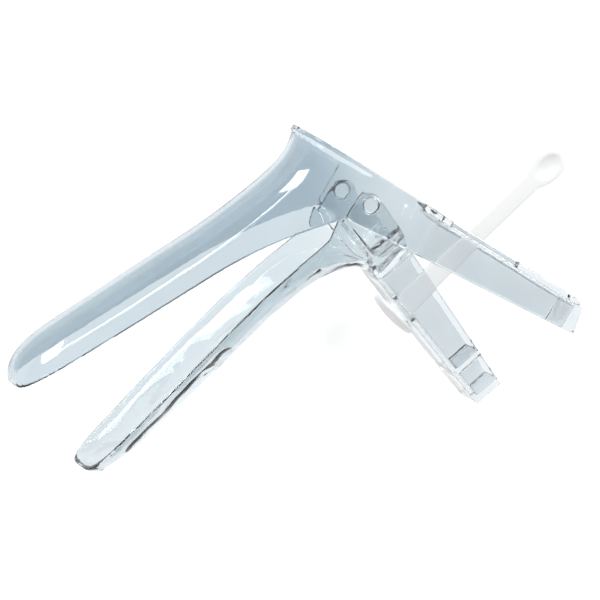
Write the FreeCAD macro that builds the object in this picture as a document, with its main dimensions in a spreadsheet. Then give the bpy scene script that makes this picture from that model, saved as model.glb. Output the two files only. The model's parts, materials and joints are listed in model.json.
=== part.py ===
"""Disposable two-valve speculum: two clear mouldings on moulded hinge studs and a locking strap.

The instrument lies on one side. X and Y hold its profile, Z runs along the hinge.
Each moulding is drawn in a frame of its own, with the hinge axis at its origin and its
valve along -X, and is then turned to the slope at which the valves stand open.
"""
import FreeCAD, Part
import math
import os
import Sketcher

SIZES = [
    # Valves
    ("upper_reach", 117.9),
    ("lower_reach", 115.4),
    ("upper_nose", 18.9),
    ("lower_nose", 15.4),
    ("upper_nose_half_width", 13.8),
    ("lower_nose_half_width", 13.8),
    ("upper_half_width", 14.6),
    ("lower_half_width", 14.8),
    ("upper_rim_height", 6.9),
    ("lower_rim_height", 3.8),
    ("upper_trough", 10.3),
    ("lower_trough", 8.1),
    ("upper_corner", 7.0),
    ("lower_corner", 5.5),
    ("shell_wall", 1.4),
    # How the valves' crown and floor fall away, and where their rims begin and end to bend
    ("crown_fall", 1.5),
    ("floor_fall", 2.4),
    ("upper_rim_bend", 52.0),
    ("upper_rim_end", 8.6),
    ("lower_rim_bend", 60.0),
    ("lower_rim_end", 19.0),
    ("lower_rim_foot", 1.1),
    # Stations of the flare into the collar and of the bend into the front grip
    ("flare_start", 42.0),
    ("flare_middle", 26.0),
    ("flare_end", 15.8),
    ("flare_throat", 9.6),
    ("flare_middle_lift", 3.2),
    ("flare_end_lift", 5.1),
    ("flare_throat_lift", 8.0),
    ("bend_start", 40.0),
    ("bend_middle", 22.0),
    ("bend_end", 14.2),
    ("bend_middle_drop", 5.8),
    ("bend_end_drop", 11.4),
    # Stance
    ("upper_slope", 30.5),
    ("opening_angle", 14.5),
    ("rear_rake", 28.4),
    ("front_rake", 4.95),
    ("rear_face", 9.1),
    ("front_face", 11.4),
    # Collar
    ("collar_rise", 27.9),
    ("collar_half_width", 14.9),
    ("collar_corner", 12.0),
    ("collar_rise_to_side", 13.9),
    ("collar_opening_foot", 16.0),
    ("bead_width", 1.8),
    ("bead_proud", 0.4),
    # Cheeks and hinge
    ("upper_cheek_half_width", 15.6),
    ("cheek_top", 4.4),
    ("cheek_depth", 16.5),
    ("lower_cheek_half_width", 13.2),
    ("cheek_clearance", 0.3),
    ("lower_cheek_wall", 1.5),
    ("cheek_front", 9.6),
    ("stud_radius", 2.4),
    ("stud_clearance", 0.1),
    ("stud_inset", 0.3),
    # Grips
    ("grip_wall", 1.5),
    ("rear_web", 1.8),
    ("front_web", 1.6),
    ("rear_grip_half_width", 9.4),
    ("front_grip_half_width", 7.7),
    ("rear_shoulder_top", 16.0),
    ("rear_shoulder_foot", 28.0),
    ("front_shoulder_top", 10.0),
    ("front_shoulder_foot", 22.0),
    ("rear_grip_length", 77.6),
    ("front_grip_length", 72.8),
    ("rear_grip_end_depth", 10.1),
    ("rear_end_slant", 2.4),
    ("front_grip_root_depth", 15.2),
    ("front_grip_end_depth", 9.8),
    ("end_wall", 1.6),
    ("rib_width", 1.2),
    ("upper_rib_drop", 21.9),
    ("lower_rib_drop", 61.0),
    # Strap and what it passes through
    ("strap_drop", 35.7),
    ("strap_lean", 2.65),
    ("strap_length", 69.4),
    ("strap_root_width", 7.4),
    ("strap_width", 5.6),
    ("strap_taper_end", 30.0),
    ("strap_thickness", 2.2),
    ("neck_width", 6.0),
    ("neck_length", 2.4),
    ("head_diameter", 15.4),
    ("head_edge", 1.0),
    ("head_crown", 1.1),
    ("head_gap", 0.25),
    ("spoon_length", 12.6),
    ("spoon_width", 9.2),
    ("spoon_dish", 1.1),
    ("tooth_pitch", 2.0),
    ("tooth_height", 0.5),
    ("rest_drop", 8.0),
    ("first_tooth", 11.0),
    ("last_tooth", 39.0),
    ("slot_top", 29.0),
    ("slot_foot", 54.8),
    ("slot_clearance", 0.3),
    ("spoon_clearance", 0.3),
]

doc = FreeCAD.newDocument("Speculum")
sheet = doc.addObject("Spreadsheet::Sheet", "Sizes")
for row, (alias, value) in enumerate(SIZES, start=1):
    sheet.set("A%d" % row, alias)
    sheet.set("B%d" % row, str(value))
    sheet.setAlias("B%d" % row, alias)
doc.recompute()


def size(text):
    """Writes a formula in the aliases' own names as a formula on the sheet."""
    words = []
    word = ""
    for letter in text + " ":
        if letter.isalnum() or letter == "_":
            word += letter
            continue
        words.append("Sizes." + word if word in ALIASES else word)
        words.append(letter)
        word = ""
    return "".join(words).strip()


ALIASES = {alias for alias, _ in SIZES}


def number(text):
    """The present value of a formula."""
    return float(sheet.evalExpression(size(text).replace("Sizes.", "")))


# Frames on which sketches lie. X is the valve's line, and the turn is about the hinge axis.

def attach(sketch, body, role, base, axis, turn):
    """Lays a sketch on one of its body's planes, moved by three formulas and turned by a fourth."""
    plane = [item for item in body.Origin.OriginFeatures if item.Role == role][0]
    sketch.AttachmentSupport = [(plane, "")]
    sketch.MapMode = "FlatFace"
    place = FreeCAD.Vector(*[number(text) for text in base])
    sketch.AttachmentOffset = FreeCAD.Placement(place, FreeCAD.Rotation(axis, number(turn)))
    for letter, text in zip("xyz", base):
        if text != "0":
            sketch.setExpression("AttachmentOffset.Base." + letter, size(text))
    sketch.setExpression("AttachmentOffset.Rotation.Angle", size(turn))


def cross_plane(sketch, body, x, y, turn):
    """Stands a sketch across the profile at (x, y): its own x points out of the shell, its y along Z."""
    attach(sketch, body, "YZ_Plane", (y, "0", x), FreeCAD.Vector(0, 1, 0), turn)


def profile_plane(sketch, body, turn, height="0"):
    """Lays a sketch in the profile, turned about the hinge axis."""
    attach(sketch, body, "XY_Plane", ("0", "0", height), FreeCAD.Vector(0, 0, 1), turn)


def arch(body, name, x, y, turn, half_width, corner, rise, depth):
    """An arch in a cross plane: crown at its origin, two corner arcs, straight sides, closed below."""
    sketch = body.newObject("Sketcher::SketchObject", name)
    cross_plane(sketch, body, x, y, turn)
    w, r, d, low = (number(text) for text in (half_width, corner, rise, depth))
    crown = (w * w - 2 * w * r + d * d) / (2 * (d - r))
    normal = FreeCAD.Vector(0, 0, 1)
    lean = math.atan2(w - r, crown - d)
    right = Part.Circle(FreeCAD.Vector(-d, w - r, 0), normal, r)
    left = Part.Circle(FreeCAD.Vector(-d, r - w, 0), normal, r)
    top = Part.Circle(FreeCAD.Vector(-crown, 0, 0), normal, crown)
    sketch.addGeometry(Part.LineSegment(FreeCAD.Vector(-low, w, 0), FreeCAD.Vector(-d, w, 0)))
    sketch.addGeometry(Part.ArcOfCircle(right, lean, math.pi / 2))
    sketch.addGeometry(Part.ArcOfCircle(top, -lean, lean))
    sketch.addGeometry(Part.ArcOfCircle(left, -math.pi / 2, -lean))
    sketch.addGeometry(Part.LineSegment(FreeCAD.Vector(-d, -w, 0), FreeCAD.Vector(-low, -w, 0)))
    sketch.addGeometry(Part.LineSegment(FreeCAD.Vector(-low, -w, 0), FreeCAD.Vector(-low, w, 0)))
    for rule in (("Tangent", 0, 2, 1, 2), ("Tangent", 1, 1, 2, 2), ("Tangent", 2, 1, 3, 2),
                 ("Tangent", 3, 1, 4, 1), ("Coincident", 4, 2, 5, 1), ("Coincident", 5, 2, 0, 1),
                 ("Horizontal", 0), ("Horizontal", 4), ("Symmetric", 0, 1, 4, 2, -1), ("Equal", 1, 3),
                 ("PointOnObject", 2, 3, -1), ("PointOnObject", -1, 1, 2)):
        sketch.addConstraint(Sketcher.Constraint(*rule))
    for rule, text in ((("Radius", 1, r), corner), (("DistanceY", -1, 1, 0, 1, w), half_width),
                       (("DistanceX", 0, 2, -1, 1, d), rise), (("DistanceX", 0, 1, -1, 1, low), depth)):
        at = sketch.addConstraint(Sketcher.Constraint(*rule))
        sketch.setExpression("Constraints[%d]" % at, size(text))
    return sketch


def loft(body, kind, name, sections):
    """Lofts smoothly through a list of arches."""
    feature = body.newObject("PartDesign::" + kind, name)
    feature.Profile = (sections[0], [""])
    feature.Sections = [(sketch, [""]) for sketch in sections[1:]]
    feature.Ruled = False
    return feature


def outline(sketch, corners, arcs=None):
    """A closed outline through corners given as formulas.

    arcs maps a side's number to (radius formula, hand): hand is +1 where the side bows to the left
    of its direction and -1 where it bows to the right. The other sides are straight.
    """
    arcs = arcs or {}
    points = [FreeCAD.Vector(number(x), number(y), 0) for x, y in corners]
    count = len(points)
    ends = []
    for side, start in enumerate(points):
        stop = points[(side + 1) % count]
        if side not in arcs:
            sketch.addGeometry(Part.LineSegment(start, stop))
            ends.append((1, 2))
            continue
        radius, hand = number(arcs[side][0]), arcs[side][1]
        half = (stop - start).Length / 2
        across = FreeCAD.Vector(-(stop - start).y, (stop - start).x, 0).normalize()
        centre = (start + stop) * 0.5 - across * (hand * math.sqrt(max(radius * radius - half * half, 0.0)))
        first, last = (start, stop) if hand < 0 else (stop, start)
        low = math.atan2(first.y - centre.y, first.x - centre.x)
        high = math.atan2(last.y - centre.y, last.x - centre.x)
        high += 2 * math.pi if high <= low else 0.0
        whole = Part.Circle(centre, FreeCAD.Vector(0, 0, 1), radius)
        sketch.addGeometry(Part.ArcOfCircle(whole, low, high))
        ends.append((1, 2) if hand < 0 else (2, 1))
    for side in range(count):
        after = (side + 1) % count
        sketch.addConstraint(Sketcher.Constraint("Coincident", side, ends[side][1], after, ends[after][0]))
    for side, (x, y) in enumerate(corners):
        for rule, text, value in (("DistanceX", x, points[side].x), ("DistanceY", y, points[side].y)):
            at = sketch.addConstraint(Sketcher.Constraint(rule, -1, 1, side, ends[side][0], value))
            if text != "0":
                sketch.setExpression("Constraints[%d]" % at, size(text))
    for side, (radius, _) in arcs.items():
        at = sketch.addConstraint(Sketcher.Constraint("Radius", side, number(radius)))
        sketch.setExpression("Constraints[%d]" % at, size(radius))
    return sketch


def circle(sketch, x, y, radius):
    """A circle at a point given by formulas."""
    centre = FreeCAD.Vector(number(x), number(y), 0)
    sketch.addGeometry(Part.Circle(centre, FreeCAD.Vector(0, 0, 1), number(radius)))
    for rule, text, value in (("DistanceX", x, centre.x), ("DistanceY", y, centre.y)):
        at = sketch.addConstraint(Sketcher.Constraint(rule, -1, 1, 0, 3, value))
        if text != "0":
            sketch.setExpression("Constraints[%d]" % at, size(text))
    at = sketch.addConstraint(Sketcher.Constraint("Radius", 0, number(radius)))
    sketch.setExpression("Constraints[%d]" % at, size(radius))
    return sketch


def pad(body, name, sketch, length, both=False, other_way=False):
    """Raises a sketch, half to each side where both is set."""
    feature = body.newObject("PartDesign::Pad", name)
    feature.Profile = sketch
    feature.Length = number(length)
    feature.setExpression("Length", size(length))
    feature.Midplane = both
    feature.Reversed = other_way
    return feature


def cut(body, name, sketch, length=None, both=False, other_way=False):
    """Cuts along a sketch, right through where no length is given, and checks that it removed something."""
    doc.recompute()
    before = body.Shape.Volume
    feature = body.newObject("PartDesign::Pocket", name)
    feature.Profile = sketch
    if length is None:
        feature.Type = "ThroughAll"
    else:
        feature.Length = number(length)
        feature.setExpression("Length", size(length))
    feature.Midplane = both
    feature.Reversed = other_way
    doc.recompute()
    if not body.Shape.Volume < before - 1e-6:
        raise RuntimeError(name + " cuts nothing")
    return feature


def new_body(name):
    """A body whose name also names its file."""
    body = doc.addObject("PartDesign::Body", name)
    body.Label = name
    doc.recompute()
    return body


def sketch_in(body, name):
    """An empty sketch in a body."""
    return body.newObject("Sketcher::SketchObject", name)


# Stations along a valve's nose, as the turn of a quarter circle, from its tip to its widest.
NOSE_TURNS = (87, 78, 66, 50, 30, 0)


def nose_arches(body, name, reach, nose, half_width, corner, rim, trough, inset, side):
    """Arches that shrink towards the tip: in height by the law of an ellipse, in width more bluntly.

    inset is the wall to leave inside, "0" for the outer skin. side is +1 for the upper valve,
    whose crown is above its rim, and -1 for the lower one.
    """
    made = []
    for turn in NOSE_TURNS:
        share = "cos(%d) ^ 0.85" % turn
        spread = "cos(%d) ^ 0.42" % turn
        along = "sin(%d)" % turn
        rise = "(%s - %s) * %s" % (trough, inset, share)
        x = "-(%s - %s) - (%s - %s) * %s" % (reach, nose, nose, inset, along)
        y = "%s + %s" % (rim, rise) if side > 0 else "%s - %s" % (rim, rise)
        made.append(arch(body, "%s_%d" % (name, turn), x, y, "0" if side > 0 else "180",
                         "(%s - %s) * %s" % (half_width, inset, spread),
                         "(%s - %s) * %s" % (corner, inset, share),
                         rise + " + 0.4", rise + " + 6"))
    return made


def upper_sections(body, name, inset):
    """Arches of the upper valve and of the collar that it flares into, for one skin of its wall."""
    made = nose_arches(body, name, "upper_reach", "upper_nose", "upper_nose_half_width", "upper_corner",
                       "upper_rim_height", "upper_trough", inset, 1)
    crown = "upper_rim_height + upper_trough"
    straight = "(upper_reach - upper_nose)"
    flare = [
        # Place on the crown's outer line, turn, half width, corner, rise and depth
        ("-0.89 * " + straight, crown + " + 0.2 * crown_fall", "1", "upper_half_width - 0.3", "upper_corner",
         "upper_trough + 0.8", "19"),
        ("-0.66 * " + straight, crown + " + 0.6 * crown_fall", "1.4", "upper_half_width", "upper_corner",
         "upper_trough + 1.6", "20"),
        ("-flare_start", crown + " + crown_fall", "3", "upper_half_width", "upper_corner",
         "upper_trough + 2.4", "24"),
        ("-flare_middle", crown + " + flare_middle_lift", "10", "collar_half_width - 0.1", "upper_corner + 1",
         "upper_trough + 2.8", "28"),
        ("-flare_end", crown + " + flare_end_lift", "17", "collar_half_width + 0.1", "upper_corner + 3",
         "upper_trough + 3.2", "32"),
        ("-flare_throat", crown + " + flare_throat_lift", "23.5", "collar_half_width + 0.1",
         "collar_corner - 0.8", "upper_trough + 3.2", "38"),
    ]
    for at, (x, y, turn, half_width, corner, rise, depth) in enumerate(flare):
        made.append(arch(body, "%s_flare_%d" % (name, at),
                         "%s + %s * sin(%s)" % (x, inset, turn), "%s - %s * cos(%s)" % (y, inset, turn), turn,
                         "%s - %s" % (half_width, inset), "%s - %s" % (corner, inset),
                         "%s - %s" % (rise, inset), "%s" % depth))
    past = "0" if inset == "0" else "1"
    made.append(arch(body, name + "_mouth",
                     "(rear_face + %s) * cos(rear_rake) - (collar_rise - %s) * sin(rear_rake)" % (past, inset),
                     "(rear_face + %s) * sin(rear_rake) + (collar_rise - %s) * cos(rear_rake)" % (past, inset),
                     "rear_rake", "collar_half_width - %s" % inset, "collar_corner - %s" % inset,
                     "collar_rise_to_side - %s" % inset, "collar_rise + collar_opening_foot - %s" % inset))
    return made


def build_upper_blade():
    """The upper valve, its flared collar, the cheeks with the hinge holes, and the rear grip."""
    body = new_body("upper_blade")
    loft(body, "AdditiveLoft", "valve_outer", upper_sections(body, "outer", "0"))

    # The rim: straight along the valve, then a long arc down to the corner of the cheek.
    drop = "(upper_rim_height - 0.2)"
    run = "(upper_rim_bend - upper_rim_end)"
    trim = sketch_in(body, "rim_line")
    profile_plane(trim, body, "0")
    outline(trim, [("-upper_reach - 10", "upper_rim_height"), ("-upper_rim_bend", "upper_rim_height"),
                   ("-upper_rim_end", "0.2"),
                   ("4.5", "-20.3"), ("4.5", "-60"), ("-upper_reach - 10", "-60")],
            {1: ("(%s ^ 2 + %s ^ 2) / (2 * %s)" % (run, drop, drop), 1)})
    cut(body, "rim_trim", trim, both=True)

    # The bead round the collar's mouth, standing proud of the shell.
    bead = arch(body, "bead_outline",
                "rear_face * cos(rear_rake) - (collar_rise + bead_proud) * sin(rear_rake)",
                "rear_face * sin(rear_rake) + (collar_rise + bead_proud) * cos(rear_rake)",
                "rear_rake", "collar_half_width + bead_proud", "collar_corner + bead_proud",
                "collar_rise_to_side + bead_proud", "collar_rise + bead_proud + collar_opening_foot")
    pad(body, "bead", bead, "bead_width", other_way=True)

    # Cheeks and grip: the side outline first, wide enough for the cheeks.
    side = sketch_in(body, "grip_side")
    profile_plane(side, body, "rear_rake - 90")
    front_end = "rear_grip_end_depth - rear_face"
    outline(side, [("-cheek_top", "rear_face"), ("rear_grip_length - 1.6", "rear_face"),
                   ("rear_grip_length + 0.3", "rear_face - 1.7"),
                   ("rear_grip_length + rear_end_slant", "-(%s)" % front_end),
                   ("-cheek_top + 2.2", "rear_face - cheek_depth"),
                   ("-cheek_top", "rear_face - cheek_depth + 2")],
            {1: ("2", -1)})
    pad(body, "grip_block", side, "2 * upper_cheek_half_width", both=True)
    shoulders(body, "rear", "rear_face", "rear_rake", "upper_cheek_half_width", "rear_grip_half_width",
              "rear_shoulder_top", "rear_shoulder_foot", "rear_grip_length")

    # The sight channel through valve and collar, then the hollow of the grip behind its web.
    loft(body, "SubtractiveLoft", "valve_inner", upper_sections(body, "inner", "shell_wall"))
    inner_cheek = "(lower_cheek_half_width + cheek_clearance)"
    inner_grip = "(rear_grip_half_width - grip_wall)"
    hollow = sketch_in(body, "grip_hollow_outline")
    cross_plane(hollow, body, "(rear_face - rear_web) * cos(rear_rake)", "(rear_face - rear_web) * sin(rear_rake)",
                "rear_rake")
    hollow_outline(hollow, "-(cheek_top + 1)", inner_cheek, inner_grip, "rear_shoulder_top",
                   "rear_shoulder_foot", "rear_grip_length - end_wall")
    cut(body, "grip_hollow", hollow, "cheek_depth + 4")

    slot = sketch_in(body, "strap_slot_outline")
    cross_plane(slot, body, "rear_face * cos(rear_rake)", "rear_face * sin(rear_rake)", "rear_rake")
    half = "(strap_thickness / 2 + slot_clearance)"
    outline(slot, [("-slot_top", half), ("-slot_foot", half), ("-slot_foot", "-" + half),
                   ("-slot_top", "-" + half)])
    cut(body, "strap_slot", slot, "rear_web + 1")

    holes = sketch_in(body, "hinge_hole_outline")
    profile_plane(holes, body, "0")
    circle(holes, "0", "0", "stud_radius + stud_clearance")
    cut(body, "hinge_holes", holes, both=True)
    return body


def shoulders(body, name, face, rake, wide, narrow, top, foot, length, sign="-"):
    """Cuts a grip to its width below the cheeks, along two equal arcs on each side."""
    reach = "((%s) - (%s)) / 2" % (foot, top)
    step = "((%s) - (%s)) / 2" % (wide, narrow)
    radius = "((%s) ^ 2 + (%s) ^ 2) / (2 * (%s))" % (reach, step, step)
    middle = "((%s) + (%s)) / 2" % (foot, top)
    waist = "((%s) + (%s)) / 2" % (wide, narrow)
    for hand in (1, -1):
        flip = "" if hand > 0 else "-"
        waste = sketch_in(body, "%s_shoulder_%s" % (name, "near" if hand > 0 else "far"))
        cross_plane(waste, body, "%s * cos(%s)" % (face, rake), "%s * sin(%s)" % (face, rake), rake)
        outline(waste, [("-(%s)" % top, flip + "(%s)" % wide), ("-(%s)" % middle, flip + "(%s)" % waist),
                        ("-(%s)" % foot, flip + "(%s)" % narrow),
                        ("-(%s) - 10" % length, flip + "(%s)" % narrow),
                        ("-(%s) - 10" % length, flip + "(%s + 5)" % wide),
                        ("-(%s)" % top, flip + "(%s + 5)" % wide)],
                {0: (radius, -hand), 1: (radius, hand)})
        cut(body, "%s_shoulder_cut_%s" % (name, "near" if hand > 0 else "far"), waste, both=True)


def hollow_outline(sketch, start, wide, narrow, top, foot, stop):
    """The inside of a grip as seen from behind: cheeks, two shoulders of equal arcs and the grip."""
    reach = "((%s) - (%s)) / 2" % (foot, top)
    step = "((%s) - (%s)) / 2" % (wide, narrow)
    radius = "((%s) ^ 2 + (%s) ^ 2) / (2 * (%s))" % (reach, step, step)
    middle = "((%s) + (%s)) / 2" % (foot, top)
    waist = "((%s) + (%s)) / 2" % (wide, narrow)
    corners = [("-(%s)" % start, wide), ("-(%s)" % top, wide), ("-(%s)" % middle, waist),
               ("-(%s)" % foot, narrow), ("-(%s)" % stop, narrow)]
    corners += [(x, "-" + z) for x, z in reversed(corners)]
    outline(sketch, corners, {1: (radius, -1), 2: (radius, 1), 6: (radius, 1), 7: (radius, -1)})


def lower_sections(body, name, inset):
    """Arches of the lower valve, turned over, and of the bend that leads into the front grip."""
    made = nose_arches(body, name, "lower_reach", "lower_nose", "lower_nose_half_width", "lower_corner",
                       "lower_rim_height", "lower_trough", inset, -1)
    floor = "lower_rim_height - lower_trough"
    straight = "(lower_reach - lower_nose)"
    bend = [
        # Place on the floor's outer line, turn, half width, corner, rise and depth
        ("-0.88 * " + straight, floor + " - 0.17 * floor_fall", "1.5", "lower_half_width - 0.3",
         "lower_corner", "lower_trough + 1", "17"),
        ("-0.75 * " + straight, floor + " - 0.33 * floor_fall", "2", "lower_half_width", "lower_corner",
         "lower_trough + 1.4", "18"),
        ("-0.58 * " + straight, floor + " - 0.62 * floor_fall", "2.5", "lower_half_width", "lower_corner",
         "lower_trough + 2", "20"),
        ("-bend_start", floor + " - floor_fall", "5", "lower_half_width - 0.5", "lower_corner",
         "lower_trough + 2.4", "22"),
        ("-bend_middle", floor + " - bend_middle_drop", "26", "lower_cheek_half_width", "lower_corner - 0.5",
         "lower_trough - 0.4", "24"),
        ("-bend_end", floor + " - bend_end_drop", "56", "front_grip_half_width + 3", "lower_corner - 1.5",
         "5.2", "20"),
    ]
    for at, (x, y, turn, half_width, corner, rise, depth) in enumerate(bend):
        made.append(arch(body, "%s_bend_%d" % (name, at),
                         "%s + %s * sin(%s)" % (x, inset, turn), "%s + %s * cos(%s)" % (y, inset, turn),
                         "180 - %s" % turn, "%s - %s" % (half_width, inset), "%s - %s" % (corner, inset),
                         "%s - %s" % (rise, inset), depth))
    drop = "front_shoulder_foot" if inset == "0" else "(upper_rib_drop - rib_width / 2)"
    face = "(front_face - %s)" % inset
    made.append(arch(body, name + "_root",
                     "-%s * sin(front_rake) - %s * cos(front_rake)" % (drop, face),
                     "-%s * cos(front_rake) + %s * sin(front_rake)" % (drop, face),
                     "90 + front_rake", "front_grip_half_width - 0.1 - 1.2 * %s" % inset,
                     "2.4 - %s" % inset, "2.6 - %s" % inset, "18"))
    return made


def build_lower_blade():
    """The lower valve, its inner cheeks with the moulded hinge studs, and the front grip."""
    body = new_body("lower_blade")
    loft(body, "AdditiveLoft", "valve_outer", lower_sections(body, "outer", "0"))

    # The rim: straight along the valve, dipping, then rising to the cheek's front edge.
    trim = sketch_in(body, "rim_line")
    profile_plane(trim, body, "0")
    dip = "(lower_rim_height - lower_rim_foot)"
    run = "(lower_rim_bend - lower_rim_end)"
    outline(trim, [("-lower_reach - 10", "lower_rim_height"), ("-lower_rim_bend", "lower_rim_height"),
                   ("-lower_rim_end", "lower_rim_foot"),
                   ("-15.4", "1"), ("-9.5", "3.4"), ("-11.2", "-18.1"), ("-11.6", "-30"), ("30", "-30"),
                   ("30", "40"), ("-lower_reach - 10", "40")],
            {1: ("(%s ^ 2 + %s ^ 2) / (2 * %s)" % (run, dip, dip), 1)})
    cut(body, "rim_trim", trim, both=True)

    # Cheeks and grip, in a frame that follows the grip's front face.
    side = sketch_in(body, "grip_side")
    profile_plane(side, body, "-90 - front_rake")
    taper = "atan((front_grip_root_depth - front_grip_end_depth) / front_grip_length)"
    ear = "((front_grip_root_depth - front_face) * cos(%s))" % taper
    outline(side, [("-1", "-cheek_front"), ("14", "-cheek_front"), ("19", "-front_face"),
                   ("front_grip_length", "-front_face"),
                   ("front_grip_length", "front_grip_end_depth - front_face"),
                   ("%s * sin(%s)" % (ear, taper), "%s * cos(%s)" % (ear, taper)),
                   ("-%s * cos(20)" % ear, "-%s * sin(20)" % ear)],
            {5: (ear, -1)})
    pad(body, "grip_block", side, "2 * lower_cheek_half_width", both=True)
    shoulders(body, "front", "-front_face", "-front_rake", "lower_cheek_half_width", "front_grip_half_width",
              "front_shoulder_top", "front_shoulder_foot", "front_grip_length")

    # The sight channel down to the first rib, the space between the cheeks behind it, and the two
    # compartments of the grip behind its web.
    loft(body, "SubtractiveLoft", "valve_inner", lower_sections(body, "inner", "shell_wall"))
    between = sketch_in(body, "between_cheeks_outline")
    start = "(cheek_front - 1.4)"
    cross_plane(between, body, "-%s * cos(front_rake)" % start, "%s * sin(front_rake)" % start, "-front_rake")
    wide = "(lower_cheek_half_width - lower_cheek_wall)"
    outline(between, [("10", wide), ("-front_shoulder_top - 1", wide),
                      ("-front_shoulder_top - 5", wide + " - 3"), ("-front_shoulder_top - 5", "3 - " + wide),
                      ("-front_shoulder_top - 1", "-" + wide), ("10", "-" + wide)])
    cut(body, "between_cheeks", between, "front_grip_root_depth + 10", other_way=True)
    depth = "(front_face - front_web)"
    half = "(front_grip_half_width - grip_wall)"
    for name, top, foot in (("upper", "upper_rib_drop + rib_width / 2", "lower_rib_drop - rib_width / 2"),
                            ("lower", "lower_rib_drop + rib_width / 2", "front_grip_length - end_wall")):
        hollow = sketch_in(body, name + "_compartment_outline")
        cross_plane(hollow, body, "-%s * cos(front_rake)" % depth, "%s * sin(front_rake)" % depth,
                    "-front_rake")
        outline(hollow, [("-(%s)" % top, half), ("-(%s)" % foot, half), ("-(%s)" % foot, "-" + half),
                         ("-(%s)" % top, "-" + half)])
        cut(body, name + "_compartment", hollow, "front_grip_root_depth + 10", other_way=True)

    hole = sketch_in(body, "strap_hole_outline")
    cross_plane(hole, body, "-front_face * cos(front_rake)", "front_face * sin(front_rake)", "-front_rake")
    half = "(strap_thickness / 2 + slot_clearance)"
    span = "(spoon_width / 2 + spoon_clearance)"
    outline(hole, [("-strap_drop + %s" % span, half), ("-strap_drop - %s" % span, half),
                   ("-strap_drop - %s" % span, "-" + half), ("-strap_drop + %s" % span, "-" + half)])
    cut(body, "strap_hole", hole, "front_web + 1", other_way=True)

    studs = sketch_in(body, "stud_outline")
    profile_plane(studs, body, "0", "lower_cheek_half_width - lower_cheek_wall")
    circle(studs, "0", "0", "stud_radius")
    reach = "upper_cheek_half_width - stud_inset - lower_cheek_half_width + lower_cheek_wall"
    pad(body, "near_stud", studs, reach)
    far = sketch_in(body, "far_stud_outline")
    profile_plane(far, body, "0", "-(lower_cheek_half_width - lower_cheek_wall)")
    circle(far, "0", "0", "stud_radius")
    pad(body, "far_stud", far, reach, other_way=True)
    return body


def build_locking_strap():
    """The locking strap: a domed head, a neck, a tapering bar with ratchet teeth and a dished tab."""
    body = new_body("locking_strap")
    bar = sketch_in(body, "bar_outline")
    profile_plane(bar, body, "0")
    root = "strap_root_width / 2"
    half = "strap_width / 2"
    neck = "neck_width / 2"
    spoon_start = "strap_length - spoon_length"
    tip = "(strap_length - spoon_width / 2)"
    corners = [("-head_gap - head_crown", neck), ("neck_length", neck), ("neck_length + 0.8", root),
               ("strap_taper_end", half), (spoon_start, half), (tip, "spoon_width / 2")]
    corners += [(x, "-(%s)" % y) for x, y in reversed(corners)]
    outline(bar, corners, {4: ("14", 1), 5: ("spoon_width / 2 + 0.01", 1), 6: ("14", 1)})
    pad(body, "bar", bar, "strap_thickness", both=True)

    head = sketch_in(body, "head_outline")
    profile_plane(head, body, "0")
    back = "-head_gap"
    middle = "-head_gap - head_crown"
    edge = "head_diameter / 2"
    crown = "(head_diameter ^ 2 / 4 + head_crown ^ 2) / (2 * head_crown)"
    outline(head, [(back, "0"), (middle, edge), (middle + " - head_edge", edge),
                   (middle + " - head_edge - head_crown", "0")],
            {0: (crown, -1), 2: (crown, -1)})
    dome = body.newObject("PartDesign::Revolution", "head")
    dome.Profile = head
    dome.ReferenceAxis = (head, ["H_Axis"])
    dome.Angle = 360

    dish = body.newObject("PartDesign::SubtractiveEllipsoid", "dish")
    dish.Radius1 = 9
    dish.Radius2 = 5
    dish.Radius3 = 3
    dish.AttachmentSupport = [([item for item in body.Origin.OriginFeatures if item.Role == "XY_Plane"][0], "")]
    dish.MapMode = "FlatFace"
    dish.Angle3 = 360
    dish.Angle1 = -90
    dish.Angle2 = 90
    dish.setExpression("Radius1", size("2 * spoon_dish"))
    dish.setExpression("Radius2", size("spoon_length / 2 - 0.9"))
    dish.setExpression("Radius3", size("spoon_width / 2 - 0.9"))
    dish.AttachmentOffset = FreeCAD.Placement(FreeCAD.Vector(62, 0, 2.2), FreeCAD.Rotation())
    dish.setExpression("AttachmentOffset.Base.x", size("strap_length - spoon_length / 2 + 0.3"))
    dish.setExpression("AttachmentOffset.Base.z", size("strap_thickness / 2 + spoon_dish"))

    tooth = sketch_in(body, "tooth_outline")
    attach(tooth, body, "XZ_Plane", ("0", "0", "0"), FreeCAD.Vector(0, 0, 1), "0")
    low = "-strap_thickness / 2"
    outline(tooth, [("first_tooth", low + " - 0.2"), ("first_tooth", low + " + tooth_height"),
                    ("first_tooth + tooth_pitch * 0.9", low + " - 0.2")])
    notch = cut(body, "tooth", tooth, both=True)
    row = body.newObject("PartDesign::LinearPattern", "teeth")
    row.Originals = [notch]
    row.Direction = (bar, ["H_Axis"])
    row.setExpression("Length", size("last_tooth - first_tooth"))
    row.setExpression("Occurrences", size("round((last_tooth - first_tooth) / tooth_pitch) + 1"))
    body.Tip = row
    return body


def stand(body, turn, x="0", y="0"):
    """Turns a moulding in the profile and sets it down.

    The origin is on the ground under the middle of the cheek on which the instrument rests.
    """
    grip = "(upper_slope + rear_rake - 90)"
    x += " - rest_drop * cos%s" % grip
    y += " - rest_drop * sin%s" % grip
    body.Placement = FreeCAD.Placement(FreeCAD.Vector(number(x), number(y), number("upper_cheek_half_width")),
                                       FreeCAD.Rotation(FreeCAD.Vector(0, 0, 1), number(turn)))
    body.setExpression("Placement.Base.x", size(x))
    body.setExpression("Placement.Base.y", size(y))
    body.setExpression("Placement.Base.z", size("upper_cheek_half_width"))
    body.setExpression("Placement.Rotation.Angle", size(turn))


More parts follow.
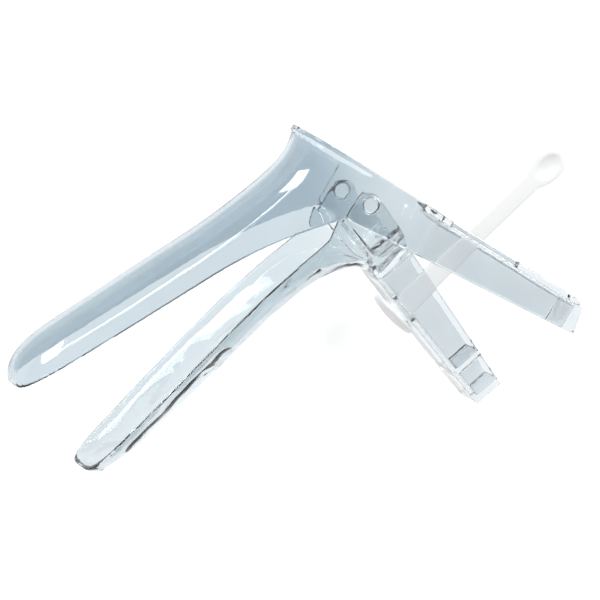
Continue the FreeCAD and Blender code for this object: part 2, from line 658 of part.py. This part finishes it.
def main():
    """Builds, places, checks and writes the three mouldings."""
    lower_slope = "(upper_slope + opening_angle)"
    grip = "(%s - 90 - front_rake)" % lower_slope
    upper = build_upper_blade()
    stand(upper, "upper_slope")
    lower = build_lower_blade()
    stand(lower, lower_slope)
    strap = build_locking_strap()
    stand(strap, "%s - front_rake + strap_lean" % lower_slope,
          "strap_drop * cos(%s) + front_face * sin(%s)" % (grip, grip),
          "strap_drop * sin(%s) - front_face * cos(%s)" % (grip, grip))
    doc.recompute()
    for item in doc.Objects:
        if "Invalid" in item.State or "Error" in item.State:
            raise RuntimeError(item.Name + " failed: " + str(item.State))
    pieces = [upper, lower, strap]
    for body in pieces:
        if body.Shape.isNull() or not body.Shape.isValid() or len(body.Shape.Solids) != 1:
            raise RuntimeError("%s is not one sound solid: %d" % (body.Label, len(body.Shape.Solids)))
    os.makedirs("parts", exist_ok=True)
    for body in pieces:
        body.Shape.exportStep("parts/%s.step" % body.Label)
        print(body.Label, "volume %.0f" % body.Shape.Volume, "box", body.Shape.BoundBox)


main()
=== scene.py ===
"""Looks of a clear two-valve speculum, which lies on its side on a pale studio floor."""
import json
import logging
import math
from dataclasses import dataclass
from enum import Enum

import bmesh
import bpy
from mathutils import Matrix, Vector
from mathutils.kdtree import KDTree


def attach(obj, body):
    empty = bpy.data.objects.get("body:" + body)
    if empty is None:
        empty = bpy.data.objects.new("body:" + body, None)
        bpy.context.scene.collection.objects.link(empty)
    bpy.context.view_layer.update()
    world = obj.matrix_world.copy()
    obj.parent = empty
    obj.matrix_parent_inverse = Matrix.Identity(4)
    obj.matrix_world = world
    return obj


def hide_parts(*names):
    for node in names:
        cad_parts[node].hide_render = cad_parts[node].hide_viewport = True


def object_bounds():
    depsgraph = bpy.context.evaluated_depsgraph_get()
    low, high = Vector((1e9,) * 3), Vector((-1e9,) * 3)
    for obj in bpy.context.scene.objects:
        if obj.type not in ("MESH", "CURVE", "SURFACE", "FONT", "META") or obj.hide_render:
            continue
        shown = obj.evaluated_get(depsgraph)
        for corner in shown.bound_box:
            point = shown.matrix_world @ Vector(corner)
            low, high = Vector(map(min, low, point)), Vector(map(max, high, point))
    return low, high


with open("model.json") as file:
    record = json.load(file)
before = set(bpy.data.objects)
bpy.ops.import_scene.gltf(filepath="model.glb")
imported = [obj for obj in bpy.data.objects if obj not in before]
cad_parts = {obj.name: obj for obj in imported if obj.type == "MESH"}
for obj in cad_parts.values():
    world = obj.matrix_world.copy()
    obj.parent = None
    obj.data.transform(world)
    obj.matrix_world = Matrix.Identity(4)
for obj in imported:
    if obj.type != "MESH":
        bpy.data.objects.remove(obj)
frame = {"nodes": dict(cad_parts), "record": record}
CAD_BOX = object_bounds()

MM = 0.001
LOG = logging.getLogger("speculum")

Colour = tuple[float, float, float, float]


class Slot(Enum):
    """The record's material slots."""

    CLEAR = "clear_shell"
    MILKY = "milky_strap"


class Node(Enum):
    """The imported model's nodes, each with the body that carries it."""

    UPPER = ("upper_blade", "upper")
    LOWER = ("lower_blade", "lower")
    STRAP = ("locking_strap", "strap")

    @property
    def part(self) -> str:
        """The node's name."""
        return self.value[0]

    @property
    def body(self) -> str:
        """The name of the body that carries the node."""
        return self.value[1]


def joint_place(name: str) -> Vector:
    """Finds a joint's place in the record.

    Args:
        name: The joint's name.

    Returns:
        Its position in metres.
    """
    for joint in frame["record"]["behaviour"]["joints"]:
        if joint["name"] == name:
            return Vector(joint["pos_m"])
    raise KeyError(name)


# Shader node groups


class NodeGroup:
    """A shader node group under construction, with short ways to add and join its nodes."""

    def __init__(self, name: str) -> None:
        """Starts an empty group.

        Args:
            name: The group's name.
        """
        self.tree = bpy.data.node_groups.new(name, "ShaderNodeTree")
        self.start = self.tree.nodes.new("NodeGroupInput")
        self.end = self.tree.nodes.new("NodeGroupOutput")

    def takes(self, name: str, kind: str, value: float | Colour) -> None:
        """Adds an input.

        Args:
            name: The socket's name.
            kind: Float or Color.
            value: What it holds when nothing is joined to it.
        """
        socket = self.tree.interface.new_socket(name, in_out="INPUT", socket_type="NodeSocket" + kind)
        socket.default_value = value

    def gives(self, name: str, kind: str) -> None:
        """Adds an output."""
        self.tree.interface.new_socket(name, in_out="OUTPUT", socket_type="NodeSocket" + kind)

    def add(self, kind: str, **settings: object) -> bpy.types.Node:
        """Adds a node.

        Args:
            kind: The node's type without its ShaderNode prefix.
            settings: Properties to set on it.

        Returns:
            The new node.
        """
        node = self.tree.nodes.new("ShaderNode" + kind)
        for key, value in settings.items():
            setattr(node, key, value)
        return node

    def join(self, source: bpy.types.NodeSocket, target: bpy.types.NodeSocket) -> None:
        """Joins an output to an input."""
        self.tree.links.new(source, target)

    def maths(self, operation: str, first: object, second: object,
              clamp: bool = False) -> bpy.types.NodeSocket:
        """Adds a sum on two values.

        Args:
            operation: The Math node's operation.
            first: A socket or a number.
            second: A socket or a number.
            clamp: Whether the result stays between 0 and 1.

        Returns:
            The result's socket.
        """
        node = self.add("Math", operation=operation, use_clamp=clamp)
        for at, value in enumerate((first, second)):
            if isinstance(value, bpy.types.NodeSocket):
                self.join(value, node.inputs[at])
            else:
                node.inputs[at].default_value = value
        return node.outputs[0]

    def span(self, value: bpy.types.NodeSocket, low: float, high: float) -> bpy.types.NodeSocket:
        """Maps a value's stretch from low to high smoothly onto 0 to 1.

        Args:
            value: The socket to map.
            low: Where 0 is.
            high: Where 1 is.

        Returns:
            The mapped value's socket.
        """
        node = self.add("MapRange", interpolation_type="SMOOTHSTEP")
        self.join(value, node.inputs["Value"])
        node.inputs["From Min"].default_value = low
        node.inputs["From Max"].default_value = high
        return node.outputs["Result"]


# The mould's marks: how far each pattern is drawn out along the piece, how fine it is, and from where to
# where in its noise a hairline or a scuffed patch shows
WAVE_STRETCH = (0.22, 1.0, 1.0)
WAVE_DETAIL = 1.5
WAVE_DISTORTION = 0.4
RIPPLE_SCALE = 700.0
RIPPLE_DETAIL = 1.0
HAIR_STRETCH = (0.5, 6.0, 6.0)
HAIR_SLANT = (0.0, 0.0, 0.6)
HAIR_SCALE = 420.0
HAIR_DETAIL = 2.0
HAIR_SPAN = (0.62, 0.72)
PATCH_SCALE = 60.0
PATCH_SPAN = (0.5, 0.7)

# The tint: the clouds' fineness and contrast, and the pointiness that counts as a raised edge, along which a
# highlight is painted
CLOUD_SCALE = 35.0
CLOUD_DETAIL = 2.0
CLOUD_SPAN = (0.3, 0.7)
RIDGE_HIGHLIGHT_SPAN = (0.52, 0.62)


def moulding_marks() -> bpy.types.ShaderNodeTree:
    """Builds the group for what a mould leaves on a surface.

    Long, shallow flow waves run along the piece, over a fine ripple, and short hairline scuffs from
    handling lie across it.

    Returns:
        The group. It puts out Height for a Bump node, and Roughness.
    """
    group = NodeGroup("moulding_marks")
    group.takes("Turn", "Float", 0.0)
    group.takes("Wave Scale", "Float", 90.0)
    group.takes("Wave Depth", "Float", 1.0)
    group.takes("Ripple Depth", "Float", 0.1)
    group.takes("Scuffs", "Float", 0.3)
    group.takes("Roughness", "Float", 0.03)
    group.takes("Scuff Roughness", "Float", 0.2)
    for name in ("Height", "Roughness"):
        group.gives(name, "Float")

    place = group.add("TexCoord")
    turned = group.add("VectorRotate", rotation_type="Z_AXIS")
    group.join(place.outputs["Object"], turned.inputs["Vector"])
    group.join(group.start.outputs["Turn"], turned.inputs["Angle"])

    drawn = group.add("Mapping")
    drawn.inputs["Scale"].default_value = WAVE_STRETCH
    group.join(turned.outputs["Vector"], drawn.inputs["Vector"])
    waves = group.add("TexNoise")
    waves.inputs["Detail"].default_value = WAVE_DETAIL
    waves.inputs["Distortion"].default_value = WAVE_DISTORTION
    group.join(drawn.outputs["Vector"], waves.inputs["Vector"])
    group.join(group.start.outputs["Wave Scale"], waves.inputs["Scale"])

    ripple = group.add("TexNoise")
    ripple.inputs["Scale"].default_value = RIPPLE_SCALE
    ripple.inputs["Detail"].default_value = RIPPLE_DETAIL
    group.join(turned.outputs["Vector"], ripple.inputs["Vector"])

    streaked = group.add("Mapping")
    streaked.inputs["Scale"].default_value = HAIR_STRETCH
    streaked.inputs["Rotation"].default_value = HAIR_SLANT
    group.join(turned.outputs["Vector"], streaked.inputs["Vector"])
    hairs = group.add("TexNoise")
    hairs.inputs["Scale"].default_value = HAIR_SCALE
    hairs.inputs["Detail"].default_value = HAIR_DETAIL
    group.join(streaked.outputs["Vector"], hairs.inputs["Vector"])
    patches = group.add("TexNoise")
    patches.inputs["Scale"].default_value = PATCH_SCALE
    group.join(place.outputs["Object"], patches.inputs["Vector"])
    lines = group.span(hairs.outputs["Fac"], *HAIR_SPAN)
    where = group.span(patches.outputs["Fac"], *PATCH_SPAN)
    scuffs = group.maths("MULTIPLY", group.maths("MULTIPLY", lines, where),
                         group.start.outputs["Scuffs"], clamp=True)

    broad = group.maths("MULTIPLY", waves.outputs["Fac"], group.start.outputs["Wave Depth"])
    fine = group.maths("MULTIPLY", ripple.outputs["Fac"], group.start.outputs["Ripple Depth"])
    group.join(group.maths("ADD", broad, fine), group.end.inputs["Height"])
    rough = group.maths("MULTIPLY", scuffs, group.start.outputs["Scuff Roughness"])
    group.join(group.maths("ADD", group.start.outputs["Roughness"], rough, clamp=True),
               group.end.inputs["Roughness"])
    return group.tree


def moulding_tint_and_painted_light() -> bpy.types.ShaderNodeTree:
    """Builds the group for a moulding's colour.

    The colour goes from the valve's to the grip's along X, the grip's being a lighter copy that is painted
    light, with faint clouds, and lightens along raised edges as a painted highlight.

    Returns:
        The group. It puts out Colour.
    """
    group = NodeGroup("moulding_tint_and_painted_light")
    group.takes("Valve Colour", "Color", (0.8, 0.8, 0.8, 1.0))
    group.takes("Grip Colour", "Color", (0.8, 0.8, 0.8, 1.0))
    group.takes("Edge Colour", "Color", (0.9, 0.9, 0.9, 1.0))
    group.takes("Edge Strength", "Float", 0.5)
    group.takes("Clouds", "Float", 0.06)
    group.takes("Change At", "Float", 0.0)
    group.takes("Change Over", "Float", 0.02)
    group.gives("Colour", "Color")

    place = group.add("TexCoord")
    apart = group.add("SeparateXYZ")
    group.join(place.outputs["Object"], apart.inputs["Vector"])
    # Painted light: the grips get a lighter copy of the valves' colour
    beyond = group.maths("SUBTRACT", apart.outputs["X"], group.start.outputs["Change At"])
    along = group.maths("DIVIDE", beyond, group.start.outputs["Change Over"])
    body = group.add("Mix", data_type="RGBA")
    group.join(group.span(along, -0.5, 0.5), body.inputs["Factor"])
    group.join(group.start.outputs["Valve Colour"], body.inputs["A"])
    group.join(group.start.outputs["Grip Colour"], body.inputs["B"])

    noise = group.add("TexNoise")
    noise.inputs["Scale"].default_value = CLOUD_SCALE
    noise.inputs["Detail"].default_value = CLOUD_DETAIL
    group.join(place.outputs["Object"], noise.inputs["Vector"])
    shade = group.maths("MULTIPLY", group.span(noise.outputs["Fac"], *CLOUD_SPAN),
                        group.start.outputs["Clouds"])
    clouded = group.add("HueSaturation")
    group.join(body.outputs["Result"], clouded.inputs["Color"])
    group.join(group.maths("SUBTRACT", 1.0, shade), clouded.inputs["Value"])

    # Painted highlight: raised edges, found by pointiness, are lightened towards the edge colour
    shape = group.add("NewGeometry")
    ridge_highlight = group.span(shape.outputs["Pointiness"], *RIDGE_HIGHLIGHT_SPAN)
    highlight_mask = group.maths("MULTIPLY", ridge_highlight, group.start.outputs["Edge Strength"], clamp=True)
    highlighted = group.add("Mix", data_type="RGBA")
    group.join(highlight_mask, highlighted.inputs["Factor"])
    group.join(clouded.outputs["Color"], highlighted.inputs["A"])
    group.join(group.start.outputs["Edge Colour"], highlighted.inputs["B"])
    group.join(highlighted.outputs["Result"], group.end.inputs["Colour"])
    return group.tree


# Finishes


def any_ray(tree: bpy.types.NodeTree, *kinds: str) -> bpy.types.NodeSocket:
    """Tells rays of the given kinds from all others.

    Args:
        tree: The node tree to work in.
        kinds: The kinds of ray, as the Light Path node names them.

    Returns:
        A socket that is 1 for those rays and 0 for the others.
    """
    path = tree.nodes.new("ShaderNodeLightPath")
    found = path.outputs["Is %s Ray" % kinds[0]]
    for kind in kinds[1:]:
        either = tree.nodes.new("ShaderNodeMath")
        either.operation = "MAXIMUM"
        tree.links.new(found, either.inputs[0])
        tree.links.new(path.outputs["Is %s Ray" % kind], either.inputs[1])
        found = either.outputs["Value"]
    return found


class MaterialTree:
    """A material's node tree under construction."""

    def __init__(self, name: str) -> None:
        """Starts a material with only its output node.

        Args:
            name: The material's name.
        """
        self.material = bpy.data.materials.new(name)
        self.material.use_nodes = True
        self.nodes = self.material.node_tree.nodes
        self.nodes.clear()
        self.output = self.nodes.new("ShaderNodeOutputMaterial")

    def add(self, kind: str) -> bpy.types.Node:
        """Adds a node, its type given without the ShaderNode prefix."""
        return self.nodes.new("ShaderNode" + kind)

    def group(self, tree: bpy.types.ShaderNodeTree, **values: float | Colour) -> bpy.types.Node:
        """Places a node group.

        Args:
            tree: The group.
            values: Its inputs by name, with underscores for spaces.

        Returns:
            The group's node.
        """
        node = self.add("Group")
        node.node_tree = tree
        for key, value in values.items():
            node.inputs[key.replace("_", " ")].default_value = value
        return node

    def join(self, source: bpy.types.NodeSocket, target: bpy.types.NodeSocket) -> None:
        """Joins an output to an input."""
        self.material.node_tree.links.new(source, target)


@dataclass(frozen=True)
class ClearPolystyrene:
    """Hard clear plastic with a faint blue-grey cast, polished by its mould.

    Lamps and soft light pass straight through it, tinted by lamp_colour only, so that they reach what
    lies inside.
    """

    marks: bpy.types.ShaderNodeTree
    tint: bpy.types.ShaderNodeTree
    valve_colour: Colour = (0.57, 0.65, 0.70, 1.0)
    # The grips get a lighter copy of the plastic's colour: painted light
    grip_painted_lighter_colour: Colour = (0.765, 0.81, 0.835, 1.0)
    # Raised edges are painted lighter with this colour and strength: a painted highlight
    edge_highlight_colour: Colour = (0.74, 0.79, 0.82, 1.0)
    lamp_colour: Colour = (0.95, 0.96, 0.965, 1.0)
    edge_highlight_strength: float = 0.6
    refraction: float = 1.55
    roughness: float = 0.015
    scuff_roughness: float = 0.22
    scuffs: float = 0.25
    change_before: float = 4.0 * MM
    change_over: float = 22.0 * MM
    wave_scale: float = 70.0
    wave_depth: float = 0.3
    ripple_depth: float = 0.03
    bump_distance: float = 0.00035

    def material(self, name: str, turn: float) -> bpy.types.Material:
        """Makes the finish for one moulding.

        Args:
            name: The material's name.
            turn: The angle of the moulding's length from X, in radians.

        Returns:
            The material.
        """
        made = MaterialTree(name)
        marks = made.group(self.marks, Turn=-turn, Wave_Scale=self.wave_scale, Wave_Depth=self.wave_depth,
                           Ripple_Depth=self.ripple_depth, Scuffs=self.scuffs, Roughness=self.roughness,
                           Scuff_Roughness=self.scuff_roughness)
        tint = made.group(self.tint, Valve_Colour=self.valve_colour, Grip_Colour=self.grip_painted_lighter_colour,
                          Edge_Colour=self.edge_highlight_colour, Edge_Strength=self.edge_highlight_strength,
                          Change_At=joint_place("blade_hinge").x - self.change_before,
                          Change_Over=self.change_over)
        bump = made.add("Bump")
        bump.inputs["Strength"].default_value = 1.0
        bump.inputs["Distance"].default_value = self.bump_distance
        made.join(marks.outputs["Height"], bump.inputs["Height"])
        plastic = made.add("BsdfPrincipled")
        plastic.inputs["Transmission Weight"].default_value = 1.0
        plastic.inputs["IOR"].default_value = self.refraction
        made.join(tint.outputs["Colour"], plastic.inputs["Base Color"])
        made.join(marks.outputs["Roughness"], plastic.inputs["Roughness"])
        made.join(bump.outputs["Normal"], plastic.inputs["Normal"])
        through = made.add("BsdfTransparent")
        through.inputs["Color"].default_value = self.lamp_colour
        mix = made.add("MixShader")
        made.join(any_ray(made.material.node_tree, "Shadow", "Diffuse"), mix.inputs["Fac"])
        made.join(plastic.outputs["BSDF"], mix.inputs[1])
        made.join(through.outputs["BSDF"], mix.inputs[2])
        made.join(mix.outputs["Shader"], made.output.inputs["Surface"])
        return made.material


@dataclass(frozen=True)
class MilkyPlastic:
    """Unpigmented plastic that light enters and leaves as from milk glass."""

    marks: bpy.types.ShaderNodeTree
    tint: bpy.types.ShaderNodeTree
    body_colour: Colour = (0.94, 0.95, 0.955, 1.0)
    # Raised edges are painted lighter with this colour and strength: a painted highlight
    edge_highlight_colour: Colour = (0.96, 0.965, 0.97, 1.0)
    edge_highlight_strength: float = 0.7
    clouds: float = 0.03
    milkiness: float = 0.75
    depth: float = 0.0025
    refraction: float = 1.5
    roughness: float = 0.32
    scuff_roughness: float = 0.2
    scuffs: float = 0.5
    wave_scale: float = 160.0
    wave_depth: float = 0.6
    ripple_depth: float = 0.25
    bump_distance: float = 0.0001

    def material(self, name: str, turn: float) -> bpy.types.Material:
        """Makes the finish for the strap.

        Args:
            name: The material's name.
            turn: The angle of the strap's length from X, in radians.

        Returns:
            The material.
        """
        made = MaterialTree(name)
        marks = made.group(self.marks, Turn=-turn, Wave_Scale=self.wave_scale, Wave_Depth=self.wave_depth,
                           Ripple_Depth=self.ripple_depth, Scuffs=self.scuffs, Roughness=self.roughness,
                           Scuff_Roughness=self.scuff_roughness)
        tint = made.group(self.tint, Valve_Colour=self.body_colour, Grip_Colour=self.body_colour,
                          Edge_Colour=self.edge_highlight_colour, Edge_Strength=self.edge_highlight_strength,
                          Clouds=self.clouds)
        bump = made.add("Bump")
        bump.inputs["Strength"].default_value = 1.0
        bump.inputs["Distance"].default_value = self.bump_distance
        made.join(marks.outputs["Height"], bump.inputs["Height"])
        plastic = made.add("BsdfPrincipled")
        plastic.inputs["Subsurface Weight"].default_value = self.milkiness
        plastic.inputs["Subsurface Scale"].default_value = self.depth
        plastic.inputs["Subsurface Radius"].default_value = (1.0, 1.0, 1.0)
        plastic.inputs["IOR"].default_value = self.refraction
        made.join(tint.outputs["Colour"], plastic.inputs["Base Color"])
        made.join(marks.outputs["Roughness"], plastic.inputs["Roughness"])
        made.join(bump.outputs["Normal"], plastic.inputs["Normal"])
        made.join(plastic.outputs["BSDF"], made.output.inputs["Surface"])
        return made.material


@dataclass(frozen=True)
class PaleFloor:
    """A matt pale grey sweep, lifted to paper white where it is seen, mirrored or seen through plastic."""

    colour: Colour = (0.82, 0.82, 0.82, 1.0)
    lift: float = 0.46

    def material(self) -> bpy.types.Material:
        """Makes the floor's material.

        Returns:
            The material.
        """
        made = MaterialTree("pale_floor")
        matt = made.add("BsdfDiffuse")
        matt.inputs["Color"].default_value = self.colour
        share = made.add("Math")
        share.operation = "MULTIPLY"
        share.inputs[1].default_value = self.lift
        seen = any_ray(made.material.node_tree, "Camera", "Glossy", "Transmission")
        made.join(seen, share.inputs[0])
        glow = made.add("Emission")
        made.join(share.outputs[0], glow.inputs["Strength"])
        both = made.add("AddShader")
        made.join(matt.outputs["BSDF"], both.inputs[0])
        made.join(glow.outputs["Emission"], both.inputs[1])
        made.join(both.outputs["Shader"], made.output.inputs["Surface"])
        return made.material


# The object's pieces


@dataclass
class Moulding:
    """One injection-moulded piece, closed and with the small radii that its mould has on every edge.

    The walls are polished fully from edge_width away from a sharp edge, less towards it, and not at all
    within edge_kept of that width.
    """

    node: Node
    slot: Slot
    slope: float
    grain: float
    rounding: int = 3
    polishing: int = 110
    sharp: float = math.radians(24.0)
    edge_width: float = 1.3 * MM
    edge_kept: float = 0.25
    smoothing: float = 0.5
    seam: float = 0.001 * MM

    @property
    def name(self) -> str:
        """The name of the piece that stands for the node."""
        return self.node.part + "_moulding"

    def solid(self) -> bmesh.types.BMesh:
        """Copies the node's solid with its seams closed."""
        skin = bmesh.new()
        skin.from_mesh(frame["nodes"][self.node.part].data)
        bmesh.ops.remove_doubles(skin, verts=skin.verts, dist=self.seam)
        return skin

    def edge_points(self, skin: bmesh.types.BMesh) -> KDTree:
        """Sets points along the solid's sharp edges.

        Args:
            skin: The solid.

        Returns:
            A tree that finds the nearest of the points.
        """
        points = []
        for edge in skin.edges:
            if len(edge.link_faces) == 2 and edge.calc_face_angle(0.0) > self.sharp:
                start, end = (corner.co for corner in edge.verts)
                steps = max(1, round(edge.calc_length() / self.grain))
                points += [start.lerp(end, at / steps) for at in range(steps + 1)]
        tree = KDTree(len(points))
        for at, point in enumerate(points):
            tree.insert(point, at)
        tree.balance()
        return tree

    def cast(self, skin: bmesh.types.BMesh) -> bpy.types.Mesh:
        """Fills the solid's skin with small even quads.

        Args:
            skin: The solid.

        Returns:
            The new mesh.
        """
        mesh = bpy.data.meshes.new(self.name + "_rough")
        skin.to_mesh(mesh)
        rough = bpy.data.objects.new(self.name + "_rough", mesh)
        bpy.context.scene.collection.objects.link(rough)
        quads = rough.modifiers.new("quads", "REMESH")
        quads.mode = "VOXEL"
        quads.voxel_size = self.grain
        made = bpy.data.meshes.new_from_object(rough.evaluated_get(bpy.context.evaluated_depsgraph_get()))
        bpy.data.objects.remove(rough)
        return made

    def form(self) -> bpy.types.Mesh:
        """Builds the piece's skin: sharp edges lightly rounded, and the walls between them polished smooth.

        Returns:
            A closed mesh of even, smooth quads.
        """
        skin = self.solid()
        edges = self.edge_points(skin)
        mesh = self.cast(skin)
        skin.free()
        rough = bpy.data.objects.new(self.name + "_cast", mesh)
        bpy.context.scene.collection.objects.link(rough)
        walls = rough.vertex_groups.new(name="walls")
        for corner in mesh.vertices:
            away = edges.find(corner.co)[2] / self.edge_width
            if away > self.edge_kept:
                weight = (away - self.edge_kept) / (1.0 - self.edge_kept)
                walls.add([corner.index], min(1.0, weight), "REPLACE")
        for name, passes, group in (("rounding", self.rounding, ""), ("polishing", self.polishing, "walls")):
            smooth = rough.modifiers.new(name, "SMOOTH")
            smooth.factor = self.smoothing
            smooth.iterations = passes
            smooth.vertex_group = group
        made = bpy.data.meshes.new_from_object(rough.evaluated_get(bpy.context.evaluated_depsgraph_get()))
        made.name = self.name
        bpy.data.objects.remove(rough)
        for face in made.polygons:
            face.use_smooth = True
        return made

    def build(self, finish: bpy.types.Material) -> bpy.types.Object:
        """Makes the piece, dresses it and lets it ride on its body in the node's place.

        Args:
            finish: The material it gets.

        Returns:
            The piece.
        """
        piece = bpy.data.objects.new(self.name, self.form())
        bpy.context.scene.collection.objects.link(piece)
        piece.data.materials.clear()
        piece.data.materials.append(finish)
        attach(piece, self.node.body)
        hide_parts(self.node.part)
        return piece


@dataclass
class UpperMoulding(Moulding):
    """The upper valve with its flared collar, outer cheeks and rear grip."""

    node: Node = Node.UPPER
    slot: Slot = Slot.CLEAR
    slope: float = math.radians(30.5)
    grain: float = 0.46 * MM


@dataclass
class LowerMoulding(Moulding):
    """The lower valve with the inner cheeks, their hinge studs and the front grip."""

    node: Node = Node.LOWER
    slot: Slot = Slot.CLEAR
    slope: float = math.radians(45.0)
    grain: float = 0.42 * MM


@dataclass
class LockingStrap(Moulding):
    """The toothed strap with its domed head and dished tab."""

    node: Node = Node.STRAP
    slot: Slot = Slot.MILKY
    slope: float = math.radians(42.7)
    grain: float = 0.16 * MM
    rounding: int = 2
    polishing: int = 6
    edge_width: float = 0.6 * MM


# Camera and light


@dataclass(frozen=True)
class Viewpoint:
    """The photograph's angle, framing and scale."""

    grip_angle: float = math.radians(30.0)
    lean: float = math.radians(20.0)
    pixel: float = 0.30 * MM
    hinge_column: float = 355.6
    hinge_row: float = 197.6
    frame_pixels: float = 600.0
    distance: float = 1.5
    sensor: float = 36.0
    clip: tuple[float, float] = (0.1, 20.0)

    def axes(self) -> tuple[Vector, Vector, Vector]:
        """Works out the picture's axes in the frame.

        Returns:
            The unit vectors to its right, to its top and towards the camera.
        """
        along = Vector((math.cos(self.grip_angle), -math.sin(self.grip_angle), 0.0))
        across = Vector((math.sin(self.grip_angle), math.cos(self.grip_angle), 0.0))
        leaning = along * math.cos(self.lean) + Vector((0.0, 0.0, math.sin(self.lean)))
        right = leaning * math.cos(self.grip_angle) + across * math.sin(self.grip_angle)
        top = across * math.cos(self.grip_angle) - leaning * math.sin(self.grip_angle)
        return right, top, right.cross(top)

    def middle(self) -> Vector:
        """The point in the hinge's depth that shows at the picture's middle."""
        right, top, _ = self.axes()
        half = self.frame_pixels / 2
        return (joint_place("blade_hinge") + right * ((half - self.hinge_column) * self.pixel)
                - top * ((half - self.hinge_row) * self.pixel))

    def build(self) -> None:
        """Sets the scene's camera up."""
        right, top, back = self.axes()
        lens = bpy.data.cameras.new("camera")
        lens.sensor_width = self.sensor
        lens.lens = self.sensor * self.distance / (self.frame_pixels * self.pixel)
        lens.clip_start, lens.clip_end = self.clip
        camera = bpy.data.objects.new("camera", lens)
        bpy.context.scene.collection.objects.link(camera)
        stance = Matrix((right, top, back)).transposed().to_4x4()
        stance.translation = self.middle() + back * self.distance
        camera.matrix_world = stance
        bpy.context.scene.camera = camera


@dataclass(frozen=True)
class SoftBox:
    """A rectangular soft lamp, placed in the picture's own directions from its middle."""

    name: str
    across: float
    above: float
    towards: float
    width: float
    height: float
    watts: float
    roll: float = 0.0

    def build(self, viewpoint: Viewpoint) -> None:
        """Hangs the lamp, facing the picture's middle.

        Args:
            viewpoint: Gives the directions.
        """
        right, top, back = viewpoint.axes()
        light = bpy.data.lights.new(self.name, "AREA")
        light.shape = "RECTANGLE"
        light.size = self.width
        light.size_y = self.height
        light.energy = self.watts
        lamp = bpy.data.objects.new(self.name, light)
        bpy.context.scene.collection.objects.link(lamp)
        offset = right * self.across + top * self.above + back * self.towards
        facing = offset.normalized()
        side = top.cross(facing)
        side = (right if side.length < 0.01 else side).normalized()
        stance = Matrix((side, facing.cross(side), facing)).transposed().to_4x4()
        stance = stance @ Matrix.Rotation(self.roll, 4, "Z")
        stance.translation = viewpoint.middle() + offset
        lamp.matrix_world = stance


@dataclass(frozen=True)
class Studio:
    """Floor, surroundings and lamps."""

    floor_radius: float = 4.0
    floor_corners: int = 96
    floor_gap: float = 0.05 * MM
    ambient: float = 0.56
    lamps: tuple[SoftBox, ...] = (
        SoftBox("strip", across=0.1, above=0.7, towards=0.7, width=1.0, height=0.03, watts=1.75),
        SoftBox("window", across=0.95, above=0.42, towards=0.55, width=0.6, height=0.45, watts=6.6),
        SoftBox("side_box", across=-0.47, above=0.62, towards=0.62, width=0.25, height=0.36, watts=3.9,
                roll=math.radians(45.0)),
    )

    def floor(self) -> None:
        """Lays the floor under the object."""
        mesh = bpy.data.meshes.new("floor")
        disc = bmesh.new()
        bmesh.ops.create_circle(disc, cap_ends=True, segments=self.floor_corners, radius=self.floor_radius)
        disc.to_mesh(mesh)
        disc.free()
        floor = bpy.data.objects.new("floor", mesh)
        floor.location.z = CAD_BOX[0][2] - self.floor_gap
        bpy.context.scene.collection.objects.link(floor)
        mesh.materials.append(PaleFloor().material())

    def surroundings(self) -> None:
        """Sets the world: white where it is seen, mirrored or seen through plastic, dimmer as soft light."""
        world = bpy.data.worlds.new("surroundings")
        world.use_nodes = True
        bpy.context.scene.world = world
        nodes = world.node_tree.nodes
        nodes.clear()
        output = nodes.new("ShaderNodeOutputWorld")
        lit = nodes.new("ShaderNodeBackground")
        lit.inputs["Strength"].default_value = self.ambient
        bright = nodes.new("ShaderNodeBackground")
        bright.inputs["Strength"].default_value = 1.0
        seen = nodes.new("ShaderNodeMixShader")
        links = world.node_tree.links
        links.new(any_ray(world.node_tree, "Camera", "Glossy", "Transmission"), seen.inputs["Fac"])
        links.new(lit.outputs["Background"], seen.inputs[1])
        links.new(bright.outputs["Background"], seen.inputs[2])
        links.new(seen.outputs["Shader"], output.inputs["Surface"])

    def build(self, viewpoint: Viewpoint) -> None:
        """Builds floor, surroundings and lamps.

        Args:
            viewpoint: The picture's directions, in which the lamps are placed.
        """
        self.floor()
        self.surroundings()
        for lamp in self.lamps:
            lamp.build(viewpoint)


# Bounces enough for several clear walls behind one another
BOUNCES = 48
TRANSPARENT_BOUNCES = 24

# Painted light: the lower moulding looks paler, so it gets a lighter copy of the same clear plastic
LOWER_VALVE_PAINTED_PALER = (0.66, 0.73, 0.765, 1.0)
LOWER_GRIP_PAINTED_PALER = (0.80, 0.84, 0.86, 1.0)


def set_up_render() -> None:
    """Plain colour handling, and enough light paths for several clear walls."""
    scene = bpy.context.scene
    scene.view_settings.view_transform = "Standard"
    scene.cycles.max_bounces = BOUNCES
    scene.cycles.transmission_bounces = BOUNCES
    scene.cycles.transparent_max_bounces = TRANSPARENT_BOUNCES
    scene.cycles.caustics_refractive = False
    scene.cycles.caustics_reflective = False


def main() -> None:
    """Builds the camera, the pieces and the studio, in that order."""
    logging.basicConfig(level=logging.INFO, format="%(message)s")
    set_up_render()
    viewpoint = Viewpoint()
    viewpoint.build()
    marks = moulding_marks()
    tint = moulding_tint_and_painted_light()
    clear = ClearPolystyrene(marks, tint)
    # A lighter copy of the same clear plastic for the lower moulding: painted light
    painted_paler_copy = ClearPolystyrene(marks, tint, valve_colour=LOWER_VALVE_PAINTED_PALER, grip_painted_lighter_colour=LOWER_GRIP_PAINTED_PALER)
    milky = MilkyPlastic(marks, tint)
    for moulding, finish in ((UpperMoulding(), clear), (LowerMoulding(), painted_paler_copy), (LockingStrap(), milky)):
        name = moulding.node.part + "_finish"
        piece = moulding.build(finish.material(name, moulding.slope))
        LOG.info("%s: %d faces", piece.name, len(piece.data.polygons))
    Studio().build(viewpoint)


if __name__ == "__main__":
    main()
